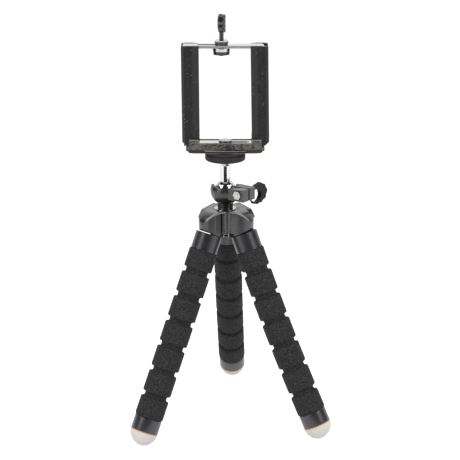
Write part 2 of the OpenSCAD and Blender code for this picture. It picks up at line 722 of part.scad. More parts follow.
// Section of the right jaw in X and Y: an outer wall with two lips that lean inward
module jaw_section() {
    outer = clamp_w / 2;
    inner = outer - jaw_w;
    half = jaw_depth / 2;
    side = [[outer, half - jaw_bevel], [outer - jaw_bevel, half], [inner + lip_slant_w, half],
        [inner, half - lip_slant_in], [inner, half - lip_slant_in - lip_t],
        [inner + lip_slant_w, half - lip_t], [outer - jaw_wall, half - lip_t]];
    polygon(concat(side, [for (i = [len(side) - 1 : -1 : 0]) [side[i].x, -side[i].y]]));
}

jaw_low = floor_t + jaw_gap;
wall_low = right_low + strap_bend_r;
wall_high = clamp_h - strap_bend_r;
module jaw() difference() {
    translate([0, 0, jaw_low]) linear_extrude(clamp_h - jaw_low) jaw_section();
    // Slanted cut of the lower corner
    translate([0, jaw_depth, 0]) rotate([90, 0, 0]) linear_extrude(2 * jaw_depth) polygon([
        [clamp_w / 2 - foot_cut_w, jaw_low],
        [clamp_w / 2 + over, jaw_low + foot_cut_h + over * foot_cut_h / foot_cut_w],
        [clamp_w / 2 + over, jaw_low - over], [clamp_w / 2 - foot_cut_w, jaw_low - over]]);
    // The wall ends where the strap bends, and a slot in it holds the strap
    for (from = [jaw_low - over, wall_high])
        translate([clamp_w / 2 - jaw_wall - strap_bend_r, -strap_w / 2 - seat_fit, from])
            cube([jaw_wall + strap_bend_r + over, strap_w + 2 * seat_fit,
                from < wall_high ? wall_low - jaw_low + over : clamp_h]);
    translate([strap_x - strap_t - seat_fit, -strap_w / 2 - seat_fit, jaw_low])
        cube([strap_t + 2 * seat_fit, strap_w + 2 * seat_fit, clamp_h]);
}

module right_jaw() color(plastic_colour) on_base() jaw();
module left_jaw() color(plastic_colour) on_base() mirror([1, 0, 0]) jaw();

// Clamp screw and its stack
module at_screw(up) on_base() translate([screw_x, 0, up]) children();
collar_z = clamp_h + slide_gap;
jam_z = collar_z + collar_h + seat_fit;
washer_z = clamp_h - 2 * strap_t - 2 * slide_gap - washer_t;
under_nut_z = washer_z - under_nut_t;
screw_low = under_nut_z - strap_t;
grip_z = clamp_h + grip_up;

// The grip is solid, with lobes down one edge
grip_lobes = 4;
module grip_outline() {
    r = grip_w / 2;
    translate([r, 0]) circle(r = r);
    translate([grip_h - r, 0]) circle(r = r);
    translate([r, -r]) square([max(grip_h - 2 * r, seat_fit), grip_w]);
}

module thumb_screw() color(plastic_colour) at_screw(0) {
    translate([0, 0, screw_low]) cylinder(d = screw_d, h = grip_z + strap_t - screw_low);
    translate([grip_t / 2, 0, grip_z]) rotate([0, -90, 0]) linear_extrude(grip_t) grip_outline();
    for (i = [0 : grip_lobes - 1])
        translate([grip_t / 2, -grip_w / 2 + lobe_d, grip_z + grip_h * (i + 0.5) / grip_lobes])
        rotate([-90, 0, 0]) cylinder(d = lobe_d, h = grip_w - 2 * lobe_d);
}

module jam_nut() color(chrome_colour) at_screw(jam_z) difference() {
    cylinder(d = jam_w * hex_scale, h = jam_t, $fn = 6);
    translate([0, 0, -over]) cylinder(d = screw_d + 2 * seat_fit, h = jam_t + 2 * over);
}

module clamp_collar() color(plastic_colour) at_screw(collar_z) difference() {
    cylinder(d1 = collar_low_d, d2 = collar_top_d, h = collar_h);
    translate([0, 0, -over]) cylinder(d = screw_d + 2 * pin_fit, h = collar_h + 2 * over);
}

module clamp_washer() color(chrome_colour) at_screw(washer_z) difference() {
    cylinder(d = washer_d, h = washer_t);
    translate([0, 0, -over]) cylinder(d = screw_d + 2 * pin_fit, h = washer_t + 2 * over);
}

module under_nut() color(plastic_colour) at_screw(under_nut_z) difference() {
    cylinder(d = under_nut_d, h = under_nut_t - seat_fit);
    translate([0, 0, -over]) cylinder(d = screw_d + 2 * pin_fit, h = under_nut_t + 2 * over);
}

hub_body();
hub_base();
hub_bolt();
hip_pins();
ball_cup();
lock_nut();
lock_screw();
lock_knob();
ball_seat();
ball_stud();
mounting_disc();
disc_pad();
base_plate();
base_insert();
slot_screw();
left_strap();
right_strap();
left_jaw();
right_jaw();
thumb_screw();
jam_nut();
clamp_collar();
clamp_washer();
under_nut();
leg_names = ["left", "right", "rear"];
for (leg = [0 : 2]) {
    collar(leg);
    for (k = [0 : groove_count])
        foam_block(leg, k);
    leg_wire(leg);
    foot_cap(leg);
    foot_ring(leg);
    foot(leg);
}
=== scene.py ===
import json
from math import cos, pi, radians, sin, sqrt

import bmesh
import bpy
from mathutils import Matrix, Vector

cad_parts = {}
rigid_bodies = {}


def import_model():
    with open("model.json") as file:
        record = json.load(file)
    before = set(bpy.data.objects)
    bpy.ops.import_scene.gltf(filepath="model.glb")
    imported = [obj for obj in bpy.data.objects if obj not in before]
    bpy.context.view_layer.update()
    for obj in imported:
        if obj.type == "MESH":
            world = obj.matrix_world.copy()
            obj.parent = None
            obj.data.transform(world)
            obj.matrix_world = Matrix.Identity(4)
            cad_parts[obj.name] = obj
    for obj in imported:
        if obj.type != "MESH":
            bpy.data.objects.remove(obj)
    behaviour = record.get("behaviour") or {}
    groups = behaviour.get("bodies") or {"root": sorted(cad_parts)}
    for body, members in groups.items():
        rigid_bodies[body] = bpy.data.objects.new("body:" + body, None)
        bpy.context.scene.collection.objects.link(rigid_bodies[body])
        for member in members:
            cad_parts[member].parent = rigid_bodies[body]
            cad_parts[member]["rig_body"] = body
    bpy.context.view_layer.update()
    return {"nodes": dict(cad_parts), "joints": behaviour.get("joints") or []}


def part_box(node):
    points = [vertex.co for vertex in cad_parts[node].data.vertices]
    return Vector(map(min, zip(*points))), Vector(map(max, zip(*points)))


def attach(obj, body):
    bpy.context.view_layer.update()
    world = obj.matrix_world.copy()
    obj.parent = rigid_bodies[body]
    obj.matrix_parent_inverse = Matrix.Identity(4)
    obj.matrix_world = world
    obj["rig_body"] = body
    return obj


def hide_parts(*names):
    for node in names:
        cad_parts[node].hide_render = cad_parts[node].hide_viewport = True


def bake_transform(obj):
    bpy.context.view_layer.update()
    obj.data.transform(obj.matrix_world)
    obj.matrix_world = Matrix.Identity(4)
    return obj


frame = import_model()
joints = {joint["name"]: joint for joint in frame["joints"]}
mm = 0.001
legNames = ("left", "right", "rear")
print("frame loaded:", len(frame["nodes"]), "nodes")


def middleOf(node):
    low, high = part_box(node)
    return (low + high) / 2


hubCentre = middleOf("hub_base")
hubCentre.z = 0
ballCentre = Vector(joints["ball_tilt"]["pos_m"])

# Shader node groups

surface = {
    "cellShare": 0.5, "grainDepth": 0.0002,  # the depth in metres
    "dustFrom": 0.35, "dustPatches": 90.0, "dustColour": (0.45, 0.44, 0.42, 1),
}


def newGroup(name, inputs, outputs):
    group = bpy.data.node_groups.new(name, "ShaderNodeTree")
    for label, value in inputs.items():
        socket = group.interface.new_socket(label, in_out="INPUT", socket_type="NodeSocketFloat")
        socket.default_value = value
    for label in outputs:
        group.interface.new_socket(label, in_out="OUTPUT", socket_type="NodeSocketFloat")
    return group, group.nodes.new("NodeGroupInput"), group.nodes.new("NodeGroupOutput")


def addNode(tree, kind, settings=None, **values):
    node = tree.nodes.new(kind)
    for label, value in (settings or {}).items():
        setattr(node, label, value)
    for label, value in values.items():
        node.inputs[label.replace("_", " ")].default_value = value
    return node


def grainGroup():
    # Fine moulded or foamed grain: a tint of fine specks and slow drift, and a height that changes quickly
    group, inside, outside = newGroup("fineGrain", {"Scale": 900.0, "Drift": 60.0, "Specks": 0.5},
                                      ["Tint", "Height"])
    place = addNode(group, "ShaderNodeTexCoord")
    fine = addNode(group, "ShaderNodeTexNoise", Detail=4.0, Roughness=0.65)
    slow = addNode(group, "ShaderNodeTexNoise", Detail=2.0)
    cells = addNode(group, "ShaderNodeTexVoronoi")
    blend = addNode(group, "ShaderNodeMath", {"operation": "MULTIPLY_ADD"})
    tint = addNode(group, "ShaderNodeMix", {"data_type": "FLOAT"})
    blend.inputs[1].default_value = surface["cellShare"]
    link = group.links.new
    for texture in (fine, slow, cells):
        link(place.outputs["Object"], texture.inputs["Vector"])
    link(inside.outputs["Scale"], fine.inputs["Scale"])
    link(inside.outputs["Scale"], cells.inputs["Scale"])
    link(inside.outputs["Drift"], slow.inputs["Scale"])
    link(cells.outputs["Distance"], blend.inputs[0])
    link(fine.outputs["Fac"], blend.inputs[2])
    link(inside.outputs["Specks"], tint.inputs["Factor"])
    link(slow.outputs["Fac"], tint.inputs["A"])
    link(fine.outputs["Fac"], tint.inputs["B"])
    link(tint.outputs["Result"], outside.inputs["Tint"])
    link(blend.outputs[0], outside.inputs["Height"])
    return group


def dustGroup():
    # Pale specks, as a mask
    group, inside, outside = newGroup("dustSpecks", {"Scale": 700.0, "Amount": 0.2}, ["Mask"])
    place = addNode(group, "ShaderNodeTexCoord")
    specks = addNode(group, "ShaderNodeTexVoronoi", Randomness=1.0)
    patches = addNode(group, "ShaderNodeTexNoise", Scale=surface["dustPatches"], Detail=2.0)
    size = addNode(group, "ShaderNodeMath", {"operation": "MULTIPLY"})
    fewer = addNode(group, "ShaderNodeMath", {"operation": "SUBTRACT"})
    step = addNode(group, "ShaderNodeMath", {"operation": "LESS_THAN"})
    fewer.inputs[1].default_value = surface["dustFrom"]
    link = group.links.new
    link(place.outputs["Object"], specks.inputs["Vector"])
    link(place.outputs["Object"], patches.inputs["Vector"])
    link(inside.outputs["Scale"], specks.inputs["Scale"])
    link(patches.outputs["Fac"], fewer.inputs[0])
    link(fewer.outputs[0], size.inputs[0])
    link(inside.outputs["Amount"], size.inputs[1])
    link(specks.outputs["Distance"], step.inputs[0])
    link(size.outputs[0], step.inputs[1])
    link(step.outputs[0], outside.inputs["Mask"])
    return group


fineGrain = grainGroup()
dustSpecks = dustGroup()


def finish(name, dark, light, rough, roughSpread=0.1, metal=0.0, grain=900.0, bump=0.1, dust=0.0, coat=0.0,
           coatRough=0.1, specular=0.5, specks=0.5, spread=0.25):
    # One material from the shared groups; a low spread gives hard contrast between dark and light
    material = bpy.data.materials.new(name)
    material.use_nodes = True
    tree = material.node_tree
    shader = tree.nodes["Principled BSDF"]
    shader.inputs["Metallic"].default_value = metal
    shader.inputs["Coat Weight"].default_value = coat
    shader.inputs["Coat Roughness"].default_value = coatRough
    shader.inputs["Specular IOR Level"].default_value = specular
    grainNode = addNode(tree, "ShaderNodeGroup", {"node_tree": fineGrain}, Scale=grain, Specks=specks)
    dustNode = addNode(tree, "ShaderNodeGroup", {"node_tree": dustSpecks}, Amount=dust)
    ramp = addNode(tree, "ShaderNodeMapRange")
    ramp.inputs["From Min"].default_value = 0.5 - spread
    ramp.inputs["From Max"].default_value = 0.5 + spread
    colour = addNode(tree, "ShaderNodeMix", {"data_type": "RGBA"})
    dusty = addNode(tree, "ShaderNodeMix", {"data_type": "RGBA"})
    roughness = addNode(tree, "ShaderNodeMapRange")
    roughness.inputs["To Min"].default_value = rough - roughSpread / 2
    roughness.inputs["To Max"].default_value = rough + roughSpread / 2
    height = addNode(tree, "ShaderNodeBump", Strength=bump, Distance=surface["grainDepth"])
    colour.inputs["A"].default_value = (*dark, 1)
    colour.inputs["B"].default_value = (*light, 1)
    dusty.inputs["B"].default_value = surface["dustColour"]
    link = tree.links.new
    link(grainNode.outputs["Tint"], ramp.inputs["Value"])
    link(ramp.outputs["Result"], colour.inputs["Factor"])
    link(colour.outputs["Result"], dusty.inputs["A"])
    link(dustNode.outputs["Mask"], dusty.inputs["Factor"])
    link(dusty.outputs["Result"], shader.inputs["Base Color"])
    link(ramp.outputs["Result"], roughness.inputs["Value"])
    link(roughness.outputs["Result"], shader.inputs["Roughness"])
    link(grainNode.outputs["Height"], height.inputs["Height"])
    link(height.outputs["Normal"], shader.inputs["Normal"])
    return material


materials = {
    "foam": finish("foamBlack", (0.004, 0.004, 0.004), (0.056, 0.0558, 0.0552), 0.85, 0.1, grain=1700.0, bump=0.9,
                   dust=0.16, specular=0.25, specks=1.0, spread=0.09),
    "gloss": finish("glossPlastic", (0.008, 0.008, 0.012), (0.014, 0.014, 0.019), 0.4, 0.08, grain=300.0, bump=0.02,
                    coat=0.35, coatRough=0.24, specular=0.75),
    "knob": finish("knobPlastic", (0.008, 0.008, 0.009), (0.018, 0.018, 0.019), 0.45, 0.1, grain=700.0, bump=0.15,
                   specular=0.16),
    "hub": finish("hubPlastic", (0.012, 0.012, 0.013), (0.022, 0.022, 0.023), 0.26, 0.08, grain=900.0, bump=0.05,
                  coat=0.35, coatRough=0.12, specular=0.7, dust=0.05),
    "cup": finish("cupPlastic", (0.012, 0.012, 0.013), (0.024, 0.024, 0.025), 0.3, 0.1, grain=1200.0, bump=0.1,
                  coat=0.3, coatRough=0.15, specular=0.6),
    "jaw": finish("jawPlastic", (0.005, 0.005, 0.005), (0.023, 0.023, 0.024), 0.38, 0.16, grain=800.0, bump=0.25,
                  dust=0.42, specular=0.34, specks=0.9, spread=0.16),
    "base": finish("basePlastic", (0.006, 0.005, 0.004), (0.15, 0.139, 0.122), 0.75, 0.16, grain=900.0, bump=0.8,
                   dust=0.3, specks=0.8, spread=0.08),
    "lip": finish("lipPlastic", (0.004, 0.004, 0.004), (0.032, 0.031, 0.03), 0.7, 0.16, grain=1000.0, bump=0.6,
                  specks=0.7, spread=0.12),
    # a paler colour for the base plate's bevelled edges
    "paleEdges": finish("paleBevel", (0.12, 0.112, 0.1), (0.46, 0.44, 0.4), 0.7, 0.16, grain=1100.0, bump=0.5,
                   specks=0.7, spread=0.14),
    "disc": finish("discPlastic", (0.012, 0.012, 0.012), (0.042, 0.041, 0.04), 0.7, 0.12, grain=1200.0, bump=0.6,
                   specks=0.7, spread=0.14, specular=0.3),
    "pad": finish("padRubber", (0.012, 0.012, 0.012), (0.035, 0.034, 0.033), 0.8, 0.12, grain=1400.0, bump=0.4),
    "footRubber": finish("footRubber", (0.68, 0.665, 0.62), (0.76, 0.745, 0.7), 0.5, 0.1, grain=600.0, bump=0.05),
    "orange": finish("orangePlastic", (0.62, 0.26, 0.09), (0.72, 0.34, 0.14), 0.5, 0.1, grain=600.0, bump=0.05),
    "seat": finish("seatPlastic", (0.6, 0.6, 0.57), (0.7, 0.7, 0.67), 0.45, 0.1, grain=600.0, bump=0.05),
    "grip": finish("gripPlastic", (0.06, 0.058, 0.057), (0.13, 0.126, 0.124), 0.5, 0.14, grain=1100.0, bump=0.2,
                   dust=0.2),
    "chrome": finish("chromePlate", (0.58, 0.575, 0.57), (0.68, 0.675, 0.67), 0.09, 0.04, metal=1.0, grain=250.0,
                     bump=0.01),
    "nut": finish("nickelNut", (0.36, 0.34, 0.31), (0.55, 0.53, 0.5), 0.26, 0.1, metal=1.0, grain=700.0, bump=0.1),
    # painted highlight: the ridge's lighter grey stands in for the white streak of reflection along the hub's arch
    "ridge": finish("ridgePaintedHighlight", (0.12, 0.12, 0.124), (0.18, 0.18, 0.185), 0.1, 0.04, grain=600.0, bump=0.02,
                    coat=1.0, coatRough=0.05, specular=1.0),
    # painted shade: near-black strips on the hub's front wall stand in for the shade of its parting grooves
    "groove": finish("paintedGrooveShade", (0.002, 0.002, 0.002), (0.004, 0.004, 0.004), 0.7, 0.1, grain=900.0, bump=0.1,
                     specular=0.1),
    "zinc": finish("zincSteel", (0.42, 0.43, 0.45), (0.6, 0.6, 0.62), 0.34, 0.12, metal=1.0, grain=900.0, bump=0.06),
    "wire": finish("drawnWire", (0.3, 0.3, 0.31), (0.4, 0.4, 0.41), 0.4, 0.12, metal=1.0, grain=900.0, bump=0.06),
    "cutEdge": finish("cutEdge", (0.42, 0.424, 0.43), (0.52, 0.524, 0.53), 0.4, 0.12, metal=1.0, grain=900.0,
                      bump=0.06),
    "brass": finish("turnedBrass", (0.62, 0.44, 0.18), (0.72, 0.54, 0.25), 0.28, 0.1, metal=1.0, grain=700.0,
                    bump=0.04),
}
print("materials made:", len(materials))

# Helpers for pieces

limits = {
    "cornerShare": 0.49, "flatWithin": 0.8,  # a share of a side, and degrees
    "spunWeld": 0.0005, "nodeWeld": 2e-6, "tubeWeld": 1e-6,  # millimetres for the spun ones, metres for the others
}


def keepPiece(name, bm, body, material, replaced=(), smooth=35, place=None, blendTo=None):
    # A finished mesh becomes an object at the origin that rides on its body; with blendTo given it stays at the
    # origin on no body, and no blend is made
    if place is not None:
        bmesh.ops.transform(bm, matrix=place, verts=bm.verts)
    mesh = bpy.data.meshes.new(name)
    bm.to_mesh(mesh)
    bm.free()
    mesh.shade_smooth()
    mesh.set_sharp_from_angle(angle=radians(smooth))
    mesh.materials.append(materials[material])
    piece = bpy.data.objects.new(name, mesh)
    bpy.context.scene.collection.objects.link(piece)
    if blendTo is None:
        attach(piece, body)
    else:
        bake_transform(piece)
    if replaced:
        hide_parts(*replaced)
    return piece


def spun(profile, segments=64):
    # Profile points are (radius, height), from the axis outward and back to it
    bm = bmesh.new()
    points = [bm.verts.new((r, 0, z)) for r, z in profile]
    lines = [bm.edges.new(pair) for pair in zip(points, points[1:])]
    bmesh.ops.spin(bm, geom=points + lines, cent=(0, 0, 0), axis=(0, 0, 1), angle=2 * pi, steps=segments,
                   use_merge=True)
    bmesh.ops.remove_doubles(bm, verts=bm.verts, dist=limits["spunWeld"])
    bmesh.ops.recalc_face_normals(bm, faces=bm.faces)
    return bm


def closedLoop(bm, points):
    # One closed ring of edges
    verts = [bm.verts.new(point) for point in points]
    return [bm.edges.new(pair) for pair in zip(verts, verts[1:] + verts[:1])]


def rounded(points, radii, steps=4):
    # Rounds the corners of an open outline; one radius for each point, 0 for a sharp one
    made = []
    for i, point in enumerate(points):
        here = Vector(point)
        if i in (0, len(points) - 1) or radii[i] == 0:
            made.append(here)
            continue
        before = Vector(points[i - 1]) - here
        after = Vector(points[i + 1]) - here
        reach = min(radii[i], before.length * limits["cornerShare"], after.length * limits["cornerShare"])
        a = here + before.normalized() * reach
        b = here + after.normalized() * reach
        for s in range(steps + 1):
            t = s / steps
            made.append(a * (1 - t) ** 2 + here * 2 * t * (1 - t) + b * t ** 2)
    return made


def softenEdges(piece, width, segments, angle=30):
    soft = piece.modifiers.new("softEdges", "BEVEL")
    soft.limit_method = "ANGLE"
    soft.angle_limit = radians(angle)
    soft.width = width * mm
    soft.segments = segments
    return soft


def refined(node, material, width=0.2, change=None):
    # A copy of a hard node with merged faces, soft edges and smooth shading
    bm = bmesh.new()
    bm.from_mesh(frame["nodes"][node].data)
    bmesh.ops.remove_doubles(bm, verts=bm.verts, dist=limits["nodeWeld"])
    bmesh.ops.dissolve_limit(bm, angle_limit=radians(limits["flatWithin"]), verts=bm.verts, edges=bm.edges)
    if change is not None:
        change(bm)
    body = frame["nodes"][node]["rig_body"]
    piece = keepPiece(node + "Shell", bm, body, material, [node], smooth=30)
    softenEdges(piece, width, 2).harden_normals = True
    return piece


# Legs

legSizes = {
    "collarLength": 11.8, "collarWiden": 1.045, "firstBlock": 13.35, "block": 14.2, "lastBlock": 13.35,
    "groove": 3.3, "foamRadius": 9.65, "foamEdge": 1.25, "neckRadius": 7.85, "neckWaist": 7.45, "neckReach": 2.2,
    "neckEdge": 0.4, "waistEdge": 1.2, "wireRadius": 1.5, "wireGap": 0.4, "capRadius": 9.25, "capLength": 9.4,
    "capEdge": 0.7, "capLowEdge": 0.42, "ringRadius": 9.35, "ringThickness": 0.6, "ringEdge": 0.15,
    "footRadius": 9.25, "footSteps": 20, "segments": 72, "grooveCount": 6,
}


def legPlaces(leg):
    # One matrix for each block: Z runs down the leg from its upper groove, in millimetres
    pivots = [Vector(joints[f"{leg}_bend_{k + 1}"]["pos_m"]) for k in range(legSizes["grooveCount"])]
    axis = Vector(joints[f"{leg}_bend_1"]["axis"])
    runs = [(b - a).normalized() for a, b in zip(pivots, pivots[1:])]
    bend = runs[0].angle(runs[1], 0)
    first = Matrix.Rotation(-bend, 3, axis) @ runs[0]
    last = Matrix.Rotation(bend, 3, axis) @ runs[-1]
    firstReach = legSizes["collarLength"] + legSizes["firstBlock"] + legSizes["groove"] / 2
    starts = [pivots[0] - first * firstReach * mm, *pivots]
    places = []
    for start, run in zip(starts, [first, *runs, last]):
        across = -axis
        inward = across.cross(run)
        turn = Matrix((inward, across, run)).transposed().to_4x4()
        places.append(Matrix.Translation(start) @ turn @ Matrix.Scale(mm, 4))
    return places


def foamBlock(length):
    s = legSizes
    outline = rounded([(0, 0), (s["foamRadius"], 0), (s["foamRadius"], length), (0, length)],
                      [0, s["foamEdge"], s["foamEdge"], 0], 5)
    return spun(outline, s["segments"])


def makeLeg(leg):
    s = legSizes
    places = legPlaces(leg)
    half = s["groove"] / 2
    for k, place in enumerate(places):
        start = s["collarLength"] if k == 0 else half
        length = s["firstBlock"] if k == 0 else s["lastBlock"] if k == s["grooveCount"] else s["block"]
        bm = foamBlock(length)
        block = keepPiece(f"{leg}FoamBlock{k + 1}", bm, f"{leg}_leg_{k + 1}", "foam",
                          [f"{leg}_foam_{k + 1}"], place=place @ Matrix.Translation((0, 0, start)))
        if k < s["grooveCount"]:
            reach = half + s["neckReach"]
            waist = rounded([(0, -reach), (s["neckRadius"], -reach), (s["neckRadius"], -half), (s["neckWaist"], 0),
                             (s["neckRadius"], half), (s["neckRadius"], reach), (0, reach)],
                            [0, 0, s["neckEdge"], s["waistEdge"], s["neckEdge"], 0, 0], 3)
            below = places[k + 1]
            neck = keepPiece(f"{leg}FoamNeck{k + 1}", spun(waist, s["segments"]), f"{leg}_leg_{k + 1}", "foam",
                             place=below,
                             blendTo=(f"{leg}_leg_{k + 2}", below @ Vector((0, 0, -half)),
                                      below @ Vector((0, 0, half))))
        wireFrom = s["collarLength"] if k == 0 else s["wireGap"]
        wireTo = (s["collarLength"] + s["firstBlock"] + half if k == 0 else s["block"] + s["groove"]) - s["wireGap"]
        rod = spun([(0, wireFrom), (s["wireRadius"], wireFrom), (s["wireRadius"], wireTo), (0, wireTo)], segments=16)
        keepPiece(f"{leg}Wire{k + 1}", rod, f"{leg}_leg_{k + 1}", "wire",
                  [f"{leg}_wire"] if k == 0 else (), place=place)
    makeFoot(leg, places[-1])


def makeFoot(leg, place):
    s = legSizes
    body = f"{leg}_leg_{s['grooveCount'] + 1}"
    capStart = s["groove"] / 2 + s["lastBlock"]
    capEnd = capStart + s["capLength"]
    cap = rounded([(0, capStart), (s["capRadius"], capStart), (s["capRadius"], capEnd), (0, capEnd)],
                  [0, s["capEdge"], s["capLowEdge"], 0], 4)
    keepPiece(f"{leg}FootCap", spun(cap, s["segments"]), body, "gloss", [f"{leg}_cap"], place=place)
    ringEnd = capEnd + s["ringThickness"]
    ring = rounded([(0, capEnd), (s["ringRadius"], capEnd), (s["ringRadius"], ringEnd), (0, ringEnd)],
                   [0, s["ringEdge"], s["ringEdge"], 0], 2)
    keepPiece(f"{leg}FootRing", spun(ring, s["segments"]), body, "orange", [f"{leg}_ring"],
              place=place)
    dome = [(0, ringEnd)]
    for i in range(s["footSteps"] + 1):
        angle = pi / 2 * i / s["footSteps"]
        dome.append((s["footRadius"] * cos(angle), ringEnd + s["footRadius"] * sin(angle)))
    bm = spun(dome, s["segments"])  # cut off level with the floor
    bmesh.ops.transform(bm, matrix=place, verts=bm.verts)
    cut = bmesh.ops.bisect_plane(bm, geom=bm.verts[:] + bm.edges[:] + bm.faces[:], plane_co=(0, 0, 0),
                                 plane_no=(0, 0, -1), clear_outer=True)
    rim = [item for item in cut["geom_cut"] if isinstance(item, bmesh.types.BMEdge)]
    bmesh.ops.contextual_create(bm, geom=rim)
    bmesh.ops.recalc_face_normals(bm, faces=bm.faces)
    keepPiece(f"{leg}FootDome", bm, body, "footRubber", [f"{leg}_foot"])


for legName in legNames:
    makeLeg(legName)
print("legs made")

# Hard pieces that keep the frame's shape, with soft edges


def widenCollar(leg):
    # The collar a little fuller round the leg's own line
    place = legPlaces(leg)[0]
    wide = Matrix.Diagonal((legSizes["collarWiden"], legSizes["collarWiden"], 1, 1))

    def change(bm):
        bmesh.ops.transform(bm, matrix=place @ wide @ place.inverted(), verts=bm.verts)
    return change


newScales = {"clamp_collar": (1.12, 1.12, 1), "lock_nut": (0.9, 0.9, 0.9), "clamp_washer": (1.12, 1.12, 1)}


def scaled(node):
    # A change that scales a piece from its own middle
    centre = middleOf(node)
    grow = Matrix.Translation(centre) @ Matrix.Diagonal((*newScales[node], 1)) @ Matrix.Translation(-centre)

    def change(bm):
        bmesh.ops.transform(bm, matrix=grow, verts=bm.verts)
    return change


jawLean = {"left_jaw": (0.0, 0.35), "right_jaw": (-0.75, 0.4)}  # sideways at the top and at the bottom


def leaned(node):
    # The jaws aren't quite parallel
    low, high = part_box(node)
    top, bottom = jawLean[node]

    def change(bm):
        for vert in bm.verts:
            share = (high.z - vert.co.z) / (high.z - low.z)
            vert.co.x += (top + (bottom - top) * share) * mm
    return change


cupRim = {"dip": 1.5, "dipFrom": 0.5, "dipOver": 3.5, "reach": 11.5, "fade": 2}


def lowFront(bm):
    # The front of the cup's rim dips, which shows more of the ball; the ears and the bowl stay
    for vert in bm.verts:
        away = (vert.co - ballCentre) / mm
        flat = sqrt(away.x ** 2 + away.y ** 2)
        rise = min(max((away.z - cupRim["dipFrom"]) / cupRim["dipOver"], 0), 1)
        near = min(max((cupRim["reach"] - flat) / cupRim["fade"], 0), 1)
        vert.co.z -= cupRim["dip"] * mm * rise * near * max(-away.y / max(flat, 1), 0)


hubBrows = {"rise": 2.4, "frontDepth": 9.5}
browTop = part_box("hub_body")[1].z
plateau = browTop - hubBrows["rise"] * mm


def flatBrows(bm):
    # The brows over the two back sides end level with the dome
    for vert in bm.verts:
        if vert.co.y > hubCentre.y - hubBrows["frontDepth"] * mm:
            vert.co.z = min(vert.co.z, plateau)


for legName in legNames:
    refined(f"{legName}_collar", "gloss", change=widenCollar(legName))
for jawName in jawLean:
    refined(jawName, "jaw", change=leaned(jawName))
refined("hub_body", "hub", change=flatBrows)
refined("clamp_collar", "gloss", change=scaled("clamp_collar"))
refined("ball_cup", "cup", change=lowFront)
refined("lock_nut", "nut", change=scaled("lock_nut"))
refined("clamp_washer", "chrome", change=scaled("clamp_washer"))

hardPieces = {  # material: slot, nodes
    "gloss": ("gloss_plastic", ["under_nut"]),
    "hub": ("hub_plastic", ["hub_base"]),
    "disc": ("base_plastic", ["mounting_disc"]),
    "pad": ("pad_rubber", ["disc_pad"]),
    "seat": ("seat_plastic", ["ball_seat"]),
    "chrome": ("chrome", ["ball_stud", "left_strap", "right_strap"]),
    "zinc": ("zinc_steel", ["hub_bolt", "hip_pins", "lock_screw", "slot_screw"]),
    "brass": ("brass", ["base_insert"]),
}
for materialName, (slotName, nodeNames) in hardPieces.items():
    for nodeName in nodeNames:
        refined(nodeName, materialName)

plateSizes = {"lipHeight": 2.6, "paleBevel": 0.28}


def makePlate():
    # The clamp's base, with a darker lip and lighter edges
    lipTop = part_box("base_plate")[0].z + plateSizes["lipHeight"] * mm

    def splitLip(bm):
        bmesh.ops.bisect_plane(bm, geom=bm.verts[:] + bm.edges[:] + bm.faces[:], plane_co=(0, 0, lipTop),
                               plane_no=(0, 0, 1))

    plate = refined("base_plate", "base", plateSizes["paleBevel"], splitLip)
    plate.data.materials.append(materials["lip"])
    plate.data.materials.append(materials["paleEdges"])
    plate.modifiers["softEdges"].material = 2
    plate.modifiers["softEdges"].use_clamp_overlap = False
    for face in plate.data.polygons:
        if face.center.z < lipTop:
            face.material_index = 1


def dullEdges(node, across=0.9):
    # The cut long edges of a strap are duller than its polished faces
    strap = bpy.data.objects[node + "Shell"]
    strap.data.materials.append(materials["cutEdge"])
    for face in strap.data.polygons:
        if abs(face.normal.y) > across:
            face.material_index = 1


makePlate()
dullEdges("left_strap")
dullEdges("right_strap")
for nodeObject in frame["nodes"].values():
    nodeObject.data.materials.clear()
    nodeObject.data.materials.append(materials["gloss"])
print("hard pieces made")

# Trim on the hub: an arched ridge over each side, painted lighter as a painted highlight, and a bright washer under
# the neck

hubTrim = {
    "lobeRadius": 8.6, "lobeOut": 12.4, "sideInset": 0.3, "browRadius": 19.5, "archRadius": 0.6,
    "archHalfSpan": 14.2, "archSteps": 36, "archInset": 0.2, "grooveShadeWide": 1.1, "grooveShadeTall": 13.6,
    "grooveShadeLow": 10.2, "grooveShadeAt": (-3.9, 1.5), "grooveShadeDeep": 0.4, "grooveShadeProud": 0.05,
    "washerInner": 5.2, "washerOuter": 7.3, "washerThickness": 0.5,
}


def legHeading(leg):
    axis = joints[f"{leg}_hip"]["axis"]
    return Vector((-axis[1], axis[0], 0))


def sideOf(legA, legB):
    # The hub's side between two legs: its outward and sideways directions, and its distance from the middle
    t = hubTrim
    outward = (legHeading(legA) + legHeading(legB)).normalized()
    across = Vector((-outward.y, outward.x, 0))
    distance = t["lobeOut"] * legHeading(legA).dot(outward) + t["lobeRadius"] - t["sideInset"]
    return outward, across, distance


def tube(points, radius, sides=10):
    # A round bar along the points, with closed ends
    curve = bpy.data.curves.new("barPath", "CURVE")
    curve.dimensions = "3D"
    curve.bevel_depth = radius
    curve.bevel_resolution = sides // 2 - 1
    curve.use_fill_caps = True
    line = curve.splines.new("POLY")
    line.points.add(len(points) - 1)
    for spot, point in zip(line.points, points):
        spot.co = (*point, 1)
    holder = bpy.data.objects.new("barPath", curve)
    mesh = bpy.data.meshes.new_from_object(holder)
    bm = bmesh.new()
    bm.from_mesh(mesh)
    bmesh.ops.remove_doubles(bm, verts=bm.verts, dist=limits["tubeWeld"])
    bmesh.ops.recalc_face_normals(bm, faces=bm.faces)
    bpy.data.objects.remove(holder)
    bpy.data.curves.remove(curve)
    bpy.data.meshes.remove(mesh)
    return bm


